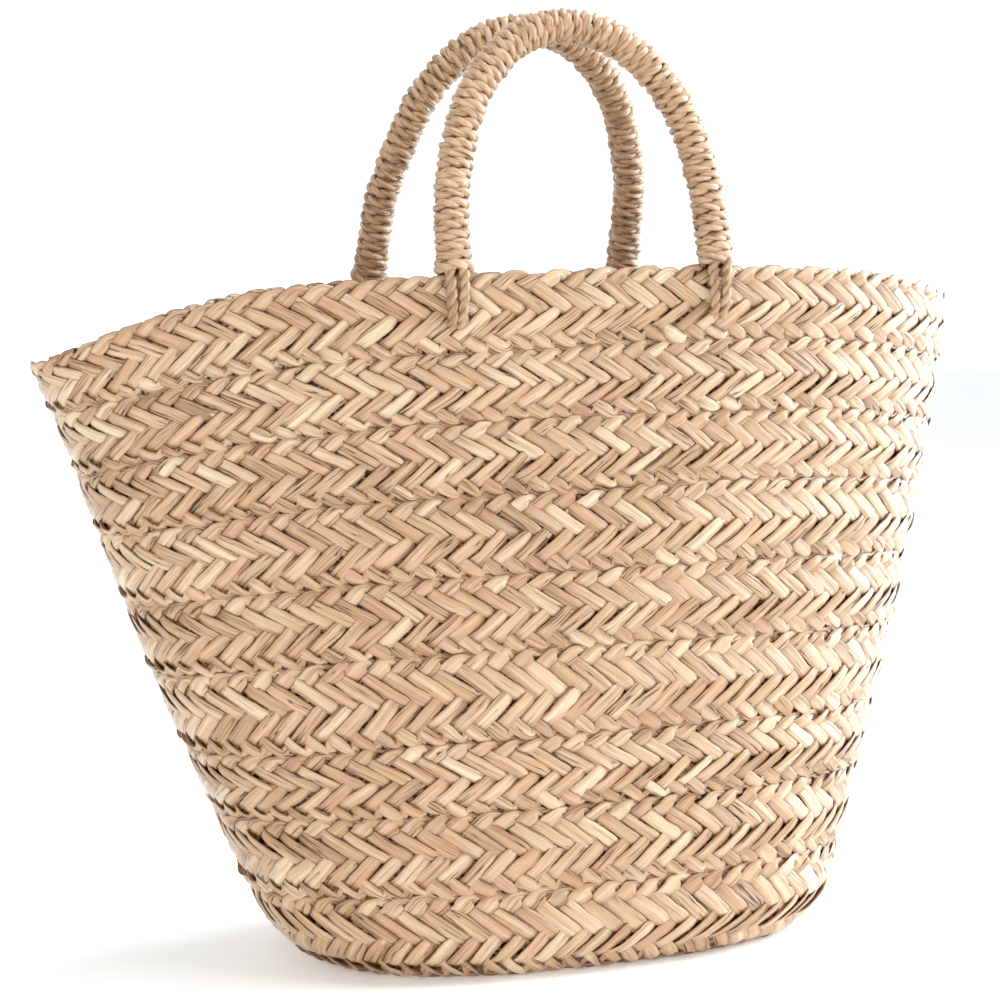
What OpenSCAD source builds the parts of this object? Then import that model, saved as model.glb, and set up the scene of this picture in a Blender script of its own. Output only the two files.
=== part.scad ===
// Market basket of plaited leaf braid with two cord-wrapped handles.
// A flat plaited braid is coiled from the middle of the base outwards, turned up at the corner
// and coiled up the wall; a thin cord laces each turn to the next one. Each turn is one course here.
// Origin: centre of the resting face of the base. +X along the length, +Y to the back, +Z up.

/* [Rim] */
// Half length of the rim oval, measured on the outside
rim_half_length = 242; // [225:1:255]
// Half depth of the rim oval, measured on the outside
rim_half_depth = 88; // [80:1:100]
// Height of the rim before it is bent up at the front and down at the back
rim_height = 344; // [340:1:350]
// How much the front of the rim is bent up
front_lift = 3.5; // [0:0.5:5]
// How much lower the back of the rim is
back_drop = 6; // [0:0.5:8]
// How much lower still the back is towards the left, and higher towards the right
back_twist = 9; // [0:0.5:10]
// How far the rim's middle is shifted towards the left end
rim_shift = 15; // [0:1:20]
// How far the left end of the rim dips
left_dip = 26; // [5:1:35]
// How far the very tip of the left end droops below that
left_tip = 9; // [0:1:10]
// How far the right end of the rim dips
right_dip = 21; // [5:1:35]

/* [Base] */
// Half length of the base oval, measured on the outside above the rounded corner
base_half_length = 142; // [135:1:150]
// Half depth of the base oval
base_half_depth = 92; // [88:1:98]
// How far the rounded bottom corner turns in under the basket
corner_inset = 15; // [12:1:17]
// Half depth of the folded braid at the middle of the base, which is one braid's width
center_half_depth = 36.6; // [34:0.1:38]

/* [Wall] */
// How much the ends bulge at mid height
end_bulge = 8; // [0:1:12]
// How much the long sides are drawn in at mid height
side_waist = 5; // [0:1:8]
// Thickness of the braid at its middle
braid_thickness = 5.5; // [5:0.1:6]
// Gap between the edges of neighbouring courses
course_gap = 0.4; // [0.3:0.05:0.6]
// Width of the cord that laces the courses together
lacing_width = 2.2; // [1.8:0.1:2.2]

/* [Handles] */
// Half distance between the two legs of the front handle
front_half_spacing = 67; // [64:1:74]
// Half distance between the two legs of the back handle
back_half_spacing = 71; // [64:1:74]
// Rise of the front handle's centre line above its leg ends
front_rise = 120.5; // [116:0.5:132]
// Rise of the back handle's centre line above its leg ends
back_rise = 138; // [126:0.5:140]
// Outer diameter of a wrapped handle
wrap_diameter = 18.6; // [17:0.1:19]
// Diameter of the core inside the wrap
core_diameter = 12; // [10:0.1:12.5]
// Lean of the front handle towards the middle of the basket
front_lean = 15; // [8:1:18]
// Lean of the back handle towards the middle of the basket
back_lean = 24; // [16:1:26]
// Shift of the front handle along the rim
front_shift = -2; // [-6:1:6]
// Shift of the back handle along the rim
back_shift = 4; // [-6:1:6]

/* [Lashings] */
// Diameter of one lashing cord
lashing_diameter = 4.4; // [4:0.1:4.8]
// How far below the rim the lashing goes through the braid
lash_drop = 24; // [22:1:28]
// Diameter of the opening between the strands for the lashing
lash_hole_diameter = 8.4; // [8:0.1:10]

/* [Hidden] */

// Heights of the seams between courses on the outside, as parts of the rim height
seam_z = [45, 86, 121, 164, 203, 241, 276, 309];
corner_part = 0.08;     // part of the height taken by the rounded corner
rim_power = 2.1;        // roundness of the rim oval: 2 is an ellipse
base_power = 2.5;       // roundness of the base oval
half_t = braid_thickness / 2 + 0.15;
stations = 48;
wrap_r = wrap_diameter / 2;
core_r = core_diameter / 2;
lash_r = lashing_diameter / 2;
leg_clearance = 2;      // leg end above the rim, measured on the leg's axis
straw = "burlywood";
straw_dark = "tan";
cord = "peru";
$fn = 48;

// ---- shape of the basket's outside: a is the angle round the basket, h runs 0 at base to 1 at rim

function corner_in(h) = corner_inset * pow(1 - min(max(h / corner_part, 0), 1), 2);
function half_x(h) = base_half_length + (rim_half_length - base_half_length) * h
    + 4 * end_bulge * h * (1 - h) - corner_in(h);
function half_y(h) = base_half_depth + (rim_half_depth - base_half_depth) * h
    - 4 * side_waist * h * (1 - h) - corner_in(h);
function oval_power(h) = base_power + (rim_power - base_power) * h;
function oval(a, n) = pow(pow(abs(cos(a)), n) + pow(abs(sin(a)), n), -1 / n);
function end_dip(q) = (q < 0 ? left_dip : right_dip) * pow(min(abs(q), 1), 3);
function ease(u) = let (t = min(max(u / 0.75, 0), 1)) t * t * (3 - 2 * t);
function back_fall(q, v) = ease(v)
    * (back_drop - back_twist * sign(q) * pow(max(abs(q) - 0.35, 0) / 0.6, 2));
// height of the wall: q runs -1 to 1 from the left end to the right, v from the front to the back
function wall_height(q, v, h) = (rim_height - end_dip(q) - back_fall(q, v)) * h
    + (front_lift * ease(-v) - left_tip * pow(max(-q, 0), 5)) * pow(h, 10);
function outside(a, h) = let (k = oval(a, oval_power(h)), q = cos(a) * k)
    [-rim_shift * h + half_x(h) * q, half_y(h) * sin(a) * k, wall_height(q, sin(a) * k, h)];
function unit(v) = v / norm(v);
function outward(a, h) = let (h0 = max(h - 0.004, 0), h1 = min(h + 0.004, 1))
    unit(cross(outside(a + 1, h) - outside(a - 1, h), outside(a, h1) - outside(a, h0)));
function upward(a, h) = let (h0 = max(h - 0.004, 0), h1 = min(h + 0.004, 1))
    unit(outside(a, h1) - outside(a, h0));
// y of the outside of the long side at a given x and h, without its sign
function side_y(x, h) = half_y(h)
    * pow(1 - pow(abs(x + rim_shift * h) / half_x(h), oval_power(h)), 1 / oval_power(h));

// ---- one braid course as a closed ring between two heights
// Each row of the section is [edge 0 or 1, step along the wall in mm, offset from the braid's middle].
section = [[0, course_gap / 2, -2.0], [0, 1.5, 0], [0, course_gap / 2, 2.0], [0.5, 0, half_t],
    [1, -course_gap / 2, 2.0], [1, -1.5, 0], [1, -course_gap / 2, -2.0], [0.5, 0, 0.3 - half_t]];

function section_point(a, h0, h1, s) = let (h = h0 + (h1 - h0) * s[0])
    outside(a, h) + upward(a, h) * s[1] + outward(a, h) * (s[2] - half_t);

module ring_of(points_of_station, sides) {
    polyhedron(
        points = [for (i = [0 : stations - 1]) for (p = points_of_station[i]) p],
        faces = [for (i = [0 : stations - 1]) for (j = [0 : sides - 1])
            let (i2 = (i + 1) % stations, j2 = (j + 1) % sides)
            [i * sides + j, i2 * sides + j, i2 * sides + j2, i * sides + j2]],
        convexity = 6);
}

module course(h0, h1) {
    ring_of([for (i = [0 : stations - 1])
        [for (s = section) section_point(i * 360 / stations, h0, h1, s)]], len(section));
}

// the lacing cord that lies in the groove between two courses
module seam_cord(h) {
    r = lacing_width / 2;
    ring_of([for (i = [0 : stations - 1]) let (a = i * 360 / stations, p = outside(a, h)
            - outward(a, h) * half_t)
        [p - upward(a, h) * r, p + outward(a, h) * r, p + upward(a, h) * r, p - outward(a, h) * r]], 4);
}

// ---- the flat base: prisms with a groove round their edges for the lacing
function base_oval(a, b, n) = [for (i = [0 : 71]) let (t = i * 5, k = oval(t, n))
    [a * cos(t) * k, b * sin(t) * k]];
base_out = [base_half_length - corner_inset - 3.8, base_half_depth - corner_inset - 3.8];
base_in = [base_out[0] - base_out[1] + center_half_depth, center_half_depth];
groove = 1.3;

module base_slab(o, i, z0, z1, grow_o, grow_i) {
    translate([0, 0, z0]) linear_extrude(z1 - z0) difference() {
        polygon(base_oval(o[0] + grow_o, o[1] + grow_o, o[2]));
        if (i[0] > 0) polygon(base_oval(i[0] + grow_i, i[1] + grow_i, i[2]));
    }
}

module base_braid(o, i, g) {
    base_slab(o, i, 0, 1.6, -course_gap / 2, course_gap / 2);
    base_slab(o, i, 1.6, 3.8, -course_gap / 2 - g, course_gap / 2 + groove);
    base_slab(o, i, 3.8, braid_thickness - 0.1, -course_gap / 2, course_gap / 2);
}

base_power_in = 3;

// the start of the coil: the braid folded back beside itself
module base_center_braid() {
    color(straw) base_braid([base_in[0], base_in[1], base_power_in], [0, 0, 2], groove);
}
module base_course() {
    color(straw_dark) base_braid([base_out[0], base_out[1], base_power],
        [base_in[0], base_in[1], base_power_in], 0);
}
module base_lacing() {
    color(cord) translate([0, 0, 1.9]) linear_extrude(1.6) difference() {
        polygon(base_oval(base_in[0] + 0.9, base_in[1] + 0.9, base_power_in));
        polygon(base_oval(base_in[0] - 0.9, base_in[1] - 0.9, base_power_in));
    }
}

// ---- courses of the wall, from the rounded corner up to the rim
function seam(i) = seam_z[i] / 344;

module corner_course() { color(straw) course(0, seam(0)); }
module wall_course_1() { color(straw_dark) course(seam(0), seam(1)); }
module wall_course_2() { color(straw) course(seam(1), seam(2)); }
module wall_course_3() { color(straw_dark) course(seam(2), seam(3)); }
module wall_course_4() { color(straw) course(seam(3), seam(4)); }
module wall_course_5() { color(straw_dark) course(seam(4), seam(5)); }
module wall_course_6() { color(straw) course(seam(5), seam(6)); }
module wall_course_7() { color(straw_dark) course(seam(6), seam(7)); }

module rim_course() {
    color(straw_dark) difference() {
        course(seam(7), 1);
        for (side = [-1, 1]) for (leg = [-1, 1])
            lash_frame(leg_x(side, leg), side) rotate([-90, 0, 0])
                cylinder(d = lash_hole_diameter, h = 40, center = true, $fn = 32);
    }
}

// ---- lacing cords in the seams
module corner_lacing() {
    r = lacing_width / 2;
    color(cord) ring_of([for (i = [0 : stations - 1]) let (a = i * 360 / stations,
            k = oval(a, base_power), c = [cos(a) * k, sin(a) * k],
            p = [c[0] * (base_out[0] + 1.6), c[1] * (base_out[1] + 1.6), 1.7], o = [c[0], c[1], 0] / norm(c))
        [p - [0, 0, r], p + o * r, p + [0, 0, r], p - o * r]], 4);
}
module wall_lacing_1() { color(cord) seam_cord(seam(0)); }
module wall_lacing_2() { color(cord) seam_cord(seam(1)); }
module wall_lacing_3() { color(cord) seam_cord(seam(2)); }
module wall_lacing_4() { color(cord) seam_cord(seam(3)); }
module wall_lacing_5() { color(cord) seam_cord(seam(4)); }
module wall_lacing_6() { color(cord) seam_cord(seam(5)); }
module wall_lacing_7() { color(cord) seam_cord(seam(6)); }
module wall_lacing_8() { color(cord) seam_cord(seam(7)); }

// ---- lashings: two cords outside and two inside each leg, through one opening in the rim course
function half_spacing(side) = side < 0 ? front_half_spacing : back_half_spacing;
function leg_x(side, leg) = leg * half_spacing(side) + (side < 0 ? front_shift : back_shift);
function rim_top(side) = side < 0 ? rim_height + front_lift : rim_height - back_drop;
function lash_h() = 1 - lash_drop / rim_height;
// the opening's middle on the outside of the rim course; y points out of the basket
module lash_frame(x, side) {
    translate([x, side * side_y(x, lash_h()), rim_top(side) - lash_drop])
        rotate([0, 0, side > 0 ? 0 : 180]) children();
}
module rod(p, q, r) {
    v = q - p;
    translate(p) rotate([0, acos(v[2] / norm(v)), atan2(v[1], v[0])]) cylinder(r = r, h = norm(v), $fn = 24);
}
module lashing(side, leg) {
    x = leg_x(side, leg);
    out = lash_r + 0.4;
    back = 2 * half_t + lash_r + 0.5;
    lean = side_y(x, 1) - side_y(x, lash_h());
    apart = lash_r + 0.15;
    color(cord) lash_frame(x, side) {
        rod([0, out + 2, 0], [0, -back - 2, 0], lash_hole_diameter / 2 - 0.3);
        for (s = [-1, 1]) {
            rod([s * apart, out, -0.5], [s * (apart + 2.4), out + lean, lash_drop - 0.5], lash_r);
            rod([s * apart, -back, -0.5], [s * (apart + 2.4), lean - back, lash_drop - 4.6], lash_r);
        }
    }
}
module front_left_lashing() { lashing(-1, -1); }
module front_right_lashing() { lashing(-1, 1); }
module back_left_lashing() { lashing(1, -1); }
module back_right_lashing() { lashing(1, 1); }

// ---- handles: straight legs, wide side arcs and a tighter crown, all tangent, in one leaning plane
function leg_y(side) = (side_y(leg_x(side, -1), 1) + side_y(leg_x(side, 1), 1)) / 2 - half_t;
side_angle = 48;        // where the side arc meets the crown arc
arc_offset = 42;        // how far the side arc's centre lies beyond the middle

// Half of the centre line, right leg to crown: [x, z, direction of the outward normal]
function half_line(w, rise) = let (side_r = w + arc_offset, crown_r = side_r - arc_offset / cos(side_angle),
        up = arc_offset * tan(side_angle), straight = rise - crown_r - up)
    concat([[w, 0, 0]],
        [for (a = [0 : 6 : side_angle]) [side_r * cos(a) - arc_offset, straight + side_r * sin(a), a]],
        [for (i = [1 : 5]) let (a = side_angle + i * (90 - side_angle) / 5)
            [crown_r * cos(a), straight + up + crown_r * sin(a), a]]);
function arch_line(w, rise) = let (h = half_line(w, rise))
    concat(h, [for (i = [len(h) - 2 : -1 : 0]) [-h[i][0], h[i][1], 180 - h[i][2]]]);
arch_sides = 12;

function arch_ring(c, r) = [for (j = [0 : arch_sides - 1]) let (b = (j + 0.5) * 360 / arch_sides)
    [c[0] + r * cos(b) * cos(c[2]), r * sin(b), c[1] + r * cos(b) * sin(c[2])]];

// solid rod along the arch, its ends cut back by a little
module arch_rod(line, r, end) {
    n = len(line);
    m = arch_sides;
    polyhedron(
        points = [for (i = [0 : n - 1]) let (cut = i == 0 || i == n - 1 ? end : 0)
            for (p = arch_ring(line[i] + [0, cut, 0], r)) p],
        faces = concat([for (i = [0 : n - 2]) for (j = [0 : m - 1])
            [i * m + j, i * m + (j + 1) % m, (i + 1) * m + (j + 1) % m, (i + 1) * m + j]],
            [[for (j = [m - 1 : -1 : 0]) j]], [[for (j = [0 : m - 1]) (n - 1) * m + j]]),
        convexity = 6);
}
// tube along the arch: outer rings first, then inner rings
module arch_tube(line, outer, inner) {
    n = len(line);
    m = arch_sides;
    k = n * m;
    polyhedron(
        points = concat([for (c = line) for (p = arch_ring(c, outer)) p],
            [for (c = line) for (p = arch_ring(c, inner)) p]),
        faces = concat(
            [for (i = [0 : n - 2]) for (j = [0 : m - 1])
                [i * m + j, i * m + (j + 1) % m, (i + 1) * m + (j + 1) % m, (i + 1) * m + j]],
            [for (i = [0 : n - 2]) for (j = [0 : m - 1])
                [k + i * m + j, k + (i + 1) * m + j, k + (i + 1) * m + (j + 1) % m, k + i * m + (j + 1) % m]],
            [for (j = [0 : m - 1]) [j, k + j, k + (j + 1) % m, (j + 1) % m]],
            [for (j = [0 : m - 1]) let (e = (n - 1) * m)
                [e + j, e + (j + 1) % m, k + e + (j + 1) % m, k + e + j]]),
        convexity = 6);
}
module placed(side, lean, shift) {
    translate([shift, side * leg_y(side), rim_top(side) + leg_clearance])
        rotate([side * lean, 0, 0]) children();
}

front_line = arch_line(front_half_spacing, front_rise);
back_line = arch_line(back_half_spacing, back_rise);

module front_handle_core() {
    color(straw_dark) placed(-1, front_lean, front_shift) arch_rod(front_line, core_r, 0.6);
}
module front_handle_wrap() {
    color(cord) placed(-1, front_lean, front_shift) arch_tube(front_line, wrap_r, core_r + 0.2);
}
module back_handle_core() {
    color(straw_dark) placed(1, back_lean, back_shift) arch_rod(back_line, core_r, 0.6);
}
module back_handle_wrap() {
    color(cord) placed(1, back_lean, back_shift) arch_tube(back_line, wrap_r, core_r + 0.2);
}

base_center_braid();
base_course();
corner_course();
wall_course_1();
wall_course_2();
wall_course_3();
wall_course_4();
wall_course_5();
wall_course_6();
wall_course_7();
rim_course();
base_lacing();
corner_lacing();
wall_lacing_1();
wall_lacing_2();
wall_lacing_3();
wall_lacing_4();
wall_lacing_5();
wall_lacing_6();
wall_lacing_7();
wall_lacing_8();
front_left_lashing();
front_right_lashing();
back_left_lashing();
back_right_lashing();
front_handle_core();
front_handle_wrap();
back_handle_core();
back_handle_wrap();
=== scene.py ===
import bpy
import numpy as np
from mathutils import Matrix, Vector


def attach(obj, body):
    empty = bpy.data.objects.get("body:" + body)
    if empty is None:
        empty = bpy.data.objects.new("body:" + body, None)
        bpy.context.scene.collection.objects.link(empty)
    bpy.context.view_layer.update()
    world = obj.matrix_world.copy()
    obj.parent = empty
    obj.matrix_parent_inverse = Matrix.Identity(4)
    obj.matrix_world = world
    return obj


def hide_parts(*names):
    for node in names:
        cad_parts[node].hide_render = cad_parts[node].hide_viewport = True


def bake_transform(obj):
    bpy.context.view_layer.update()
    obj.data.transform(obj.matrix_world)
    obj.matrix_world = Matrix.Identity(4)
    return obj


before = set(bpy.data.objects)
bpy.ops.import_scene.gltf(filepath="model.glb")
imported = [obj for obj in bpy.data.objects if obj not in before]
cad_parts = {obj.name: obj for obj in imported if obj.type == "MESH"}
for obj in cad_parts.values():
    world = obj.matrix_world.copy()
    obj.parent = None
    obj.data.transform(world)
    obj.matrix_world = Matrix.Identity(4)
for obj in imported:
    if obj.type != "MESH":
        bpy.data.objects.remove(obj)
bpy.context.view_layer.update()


# ---------------------------------------------------------------------------------------------
# Camera. A long lens a step to the left of the basket's middle and a little above the rim,
# turned very slightly about its own axis, looking at the upper half of the wall.
# ---------------------------------------------------------------------------------------------
camera_turn = np.radians(17.27)
camera_rise = np.radians(7.27)
camera_roll = np.radians(-1.2)
camera_distance = 1.448
camera_target = Vector((-0.0228, 0.0, 0.2277))

camera_data = bpy.data.cameras.new("camera")
camera_data.sensor_width = 36.0
camera_data.lens = 101.9
camera_data.clip_end = 20.0
camera = bpy.data.objects.new("camera", camera_data)
bpy.context.scene.collection.objects.link(camera)
back_from_target = Vector((-np.sin(camera_turn) * np.cos(camera_rise),
                           -np.cos(camera_turn) * np.cos(camera_rise),
                           np.sin(camera_rise)))
camera.location = camera_target + back_from_target * camera_distance
aim = (-back_from_target).to_track_quat("-Z", "Y").to_matrix().to_4x4()
camera.matrix_world = Matrix.Translation(camera.location) @ aim @ Matrix.Rotation(camera_roll, 4, "Z")
bpy.context.scene.camera = camera


# ---------------------------------------------------------------------------------------------
# Corner, wall and rim courses. One flat plait of dried palm leaf, coiled and laced turn to turn: a
# rounded corner, seven turns up the wall and the rim. The plait is soft, so the basket takes its
# shape from how each turn was pulled while it was laced, and flares to its two ends.
# ---------------------------------------------------------------------------------------------
MM = 0.001
RIM_HALF_LENGTH = 242 * MM
RIM_HALF_DEPTH = 88 * MM
RIM_HEIGHT = 344 * MM
RIM_SHIFT = 15 * MM
BASE_HALF_LENGTH = 142 * MM
BASE_HALF_DEPTH = 92 * MM
# the outline is a rounded oval: a power of 2 is an ellipse, and higher ones are squarer
RIM_POWER = 2.1
BASE_POWER = 2.5
CORNER_INSET = 15 * MM
CORNER_PART = 0.08
END_BULGE = 8 * MM
SIDE_WAIST = 5 * MM
# the rim is lifted at the front, drops and twists at the back, and dips to both ends
FRONT_LIFT = 3.5 * MM
BACK_DROP = 6 * MM
BACK_TWIST = 9 * MM
TWIST_START = 0.35
TWIST_SPAN = 0.6
LEFT_DIP = 26 * MM
RIGHT_DIP = 21 * MM
LEFT_TIP = 12 * MM
LEFT_REACH = 3 * MM
# the power that keeps a bend close to the rim
NEAR_RIM = 10
HALF_BRAID = 2.9 * MM
# the real coil climbs by one course a turn; here the seams are level, at these heights in mm
SEAM_HEIGHTS = [0, 45, 86, 121, 164, 203, 241, 276, 309, 344]


def oval_reach(angle, power):
    """Reach of a rounded oval of half width 1 in a direction."""
    return (np.abs(np.cos(angle)) ** power + np.abs(np.sin(angle)) ** power) ** (-1.0 / power)


def ease(u):
    """Smooth step from 0 to 1, which is full at three quarters of the way to the side."""
    t = np.clip(u / 0.75, 0, 1)
    return t * t * (3 - 2 * t)


def wall_height(across, deep, rise):
    """Height of the wall; across runs -1 to 1 from the left end, deep -1 to 1 from the front."""
    dip = np.where(across < 0, LEFT_DIP, RIGHT_DIP) * np.minimum(np.abs(across), 1) ** 3
    twist = np.sign(across) * (np.maximum(np.abs(across) - TWIST_START, 0) / TWIST_SPAN) ** 2
    fall = ease(deep) * (BACK_DROP - BACK_TWIST * twist)
    bend = FRONT_LIFT * ease(-deep) - LEFT_TIP * np.maximum(-across, 0) ** 5
    return (RIM_HEIGHT - dip - fall) * rise + bend * rise ** NEAR_RIM


def wall_outside(angle, rise):
    """Point on the outside of the wall: angle round the basket, rise 0 at the base and 1 at the rim."""
    corner = CORNER_INSET * (1 - np.clip(rise / CORNER_PART, 0, 1)) ** 2
    half_x = BASE_HALF_LENGTH + (RIM_HALF_LENGTH - BASE_HALF_LENGTH) * rise \
        + 4 * END_BULGE * rise * (1 - rise) - corner
    half_y = BASE_HALF_DEPTH + (RIM_HALF_DEPTH - BASE_HALF_DEPTH) * rise \
        - 4 * SIDE_WAIST * rise * (1 - rise) - corner
    reach = oval_reach(angle, BASE_POWER + (RIM_POWER - BASE_POWER) * rise)
    across = np.cos(angle) * reach
    # the very end of the rim on the left is pulled out a little
    tip = LEFT_REACH * np.maximum(-across, 0) ** 8 * rise ** NEAR_RIM
    x = -RIM_SHIFT * rise + half_x * across - tip
    y = half_y * np.sin(angle) * reach
    return np.stack([x, y, wall_height(across, np.sin(angle) * reach, rise)], axis=-1)


def unit(v):
    return v / np.linalg.norm(v, axis=-1, keepdims=True)


def wall_outward(angle, rise):
    """Direction square to the wall, out of the basket."""
    low = np.clip(rise - 0.01, 0, 1)
    high = np.clip(rise + 0.01, 0, 1)
    along = wall_outside(angle + 0.02, rise) - wall_outside(angle - 0.02, rise)
    up = wall_outside(angle, high) - wall_outside(angle, low)
    return unit(np.cross(along, up))


# The plait has nine leaves. Each runs slantwise from edge to edge, lies over the others for half of
# its run, dives under them at the spine, shows once more as a short knob at the edge and folds back.
STRAND_PITCH = 11.4 * MM
STRAND_OVERLAP = 0.575
RUN_PITCHES = 4.5
LAYER = 1.15 * MM
FOLD_INSET = 1.35 * MM
# how sharply a leaf turns at the edge, 1 being a sharp corner
FOLD_BEND = 0.9965
LEAF_TILT = 9
KNOB_PLACE = -0.06
# where the rings of a leaf lie along its run: close together at the edge fold
RUN = np.concatenate([np.linspace(-0.545, -0.2, 7), np.linspace(-0.165, 0.095, 14),
                      np.linspace(0.135, 0.545, 12)])
# cross-section of a leaf, [across -1..1, height in mm]: domed outside, flatter inside
DOME = np.array([[-1.0, 0.0], [-0.88, 0.60], [-0.56, 0.93], [-0.18, 1.05], [0.18, 1.06], [0.56, 0.94],
                 [0.88, 0.60], [1.0, 0.0], [0.70, -0.50], [0.25, -0.64], [-0.25, -0.64], [-0.70, -0.50]])


def strand_height(x):
    """Layer of a leaf along its run, -1 inside and 1 outside: it goes under, knobs over the edge, goes
    under again and makes the long stroke."""
    knots = np.array([-0.60, -0.5556, -0.4444, -0.2222, -0.13, -0.05, 0.0, 0.04, 0.1111, 0.2222, 0.4444,
                      0.5556, 0.60])
    layer = np.array([0.2, 0.3, -0.9, -1.0, 1.15, 1.3, 0.85, -0.2, -1.0, 1.0, 1.0, -0.5, -0.6])
    fine = np.linspace(-0.62, 0.62, 249)
    smooth = np.interp(fine, knots, layer)
    kernel = np.hanning(11)
    smooth = np.convolve(np.pad(smooth, 5, mode="edge"), kernel / kernel.sum(), mode="valid")
    return np.interp(x, fine, smooth)


def plait(count, pitch, width_at, chance):
    """Leaves of one closed course as [along, across from the lower edge, outward] in metres, with
    their tones, how far each point lies from mid-thickness, and the length of leaf at each ring."""
    run = RUN_PITCHES * pitch
    x = RUN[None, :]
    # leaves lie closer together, measured square to them, where the course is narrow
    climb = width_at(np.linspace(0, count * pitch, 50)).mean() / 2 - FOLD_INSET
    across_pitch = pitch * climb / np.hypot(climb, run / 2)
    grids = []
    tones = []
    for edge in (0, 1):
        # one chance for each way in which a leaf differs from the next
        jitter = chance.normal(0, 1, (count, 16))
        (place, tuck, sway, ripple, loft, stand, breadth, _, lean, body, _, _,
         knob_lift, knob_roll, pinch, _) = jitter.T[..., None]
        fold = (np.arange(count) + (0.5 if edge == 0 else 0.0)) * pitch + place[:, 0] * 0.5 * MM
        s = fold[:, None] + x * run
        width = width_at(s)
        swing = np.arcsin(FOLD_BEND * np.cos(np.pi * x)) / np.arcsin(FOLD_BEND)
        inset = FOLD_INSET + tuck * 0.45 * MM
        t = width / 2 - (width / 2 - inset) * swing
        # slow sideways wander of the leaf between its crossings
        wander = sway * np.sin(2 * np.pi * x) + ripple * np.sin(3 * np.pi * x)
        t = t + wander * 0.38 * MM
        slope = np.gradient(t, axis=1) / np.gradient(s, axis=1)
        # the knob at the edge stands higher on some leaves, and rolls over towards the edge
        knob = np.exp(-((x - KNOB_PLACE) / 0.06) ** 2)
        off = LAYER * (strand_height(x) * (1 + 0.10 * loft) + knob * 0.22 * knob_lift)
        off = off + stand * 0.15 * MM
        # leaves that fold at the upper edge are the mirror image
        mirror = 1 if edge == 0 else -1
        tilt = np.radians(LEAF_TILT + 3.5 * lean) * mirror + np.radians(13 + 9 * knob_roll) * knob
        # it is pinched where it folds at the edge and where its end is tucked under the spine
        taper = 1 - (0.33 + 0.10 * pinch) * np.exp(-(x / 0.035) ** 2) \
            - 0.45 * np.clip((np.abs(x) - 0.49) / 0.055, 0, 1)
        half = STRAND_OVERLAP * across_pitch * (1 + 0.06 * breadth) * taper
        ragged = chance.normal(0, 1, (count, len(RUN) + 2, 2))
        ragged = (ragged[:, :-2] + ragged[:, 1:-1] + ragged[:, 2:]) / 3
        edge_noise = np.where(DOME[:, 0] < 0, ragged[..., :1], ragged[..., 1:])
        across = mirror * DOME[:, 0] * half[..., None] * (1 + 0.08 * edge_noise)
        # creases pressed into the leaf along its run, and one deeper fold line on most leaves
        crease = chance.normal(0, 0.11, (count, 1, len(DOME))) \
            + chance.normal(0, 0.035, (count, len(RUN), len(DOME)))
        groove_at = np.arange(len(DOME))[None, :] == chance.integers(2, 6, count)[:, None]
        groove = groove_at * np.abs(chance.normal(0, 0.30, count))[:, None]
        crease = crease - groove[:, None, :]
        lift = (DOME[:, 1] * (0.95 + 0.10 * body)[..., None] + crease) * MM
        lift = lift * np.where(np.abs(DOME[:, 0]) > 0.99, 0.5, 1.0)
        flat = across * np.cos(tilt)[..., None] - lift * np.sin(tilt)[..., None]
        high = lift * np.cos(tilt)[..., None] + across * np.sin(tilt)[..., None]
        dirs = 1 / np.sqrt(1 + slope ** 2)
        out_s = s[..., None] + (-slope * dirs)[..., None] * flat
        out_t = t[..., None] + dirs[..., None] * flat
        out_n = off[..., None] + high
        if edge == 1:
            out_t = width[..., None] - out_t
        grids.append(np.stack([out_s, out_t, out_n], axis=-1))
        tones.append(jitter[:, 9:12])
    grid = np.concatenate(grids)
    # how far a point lies from mid-thickness, up to 1 mm: the leaf material paints shade where this is
    # small
    depth = np.clip(np.abs(grid[..., 2] / MM + 0.05), 0, 1)
    # a leaf is longer than its run, as it goes slantwise and over and under
    return grid, np.concatenate(tones), depth, (RUN - RUN[0]) * run * 1.18


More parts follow.
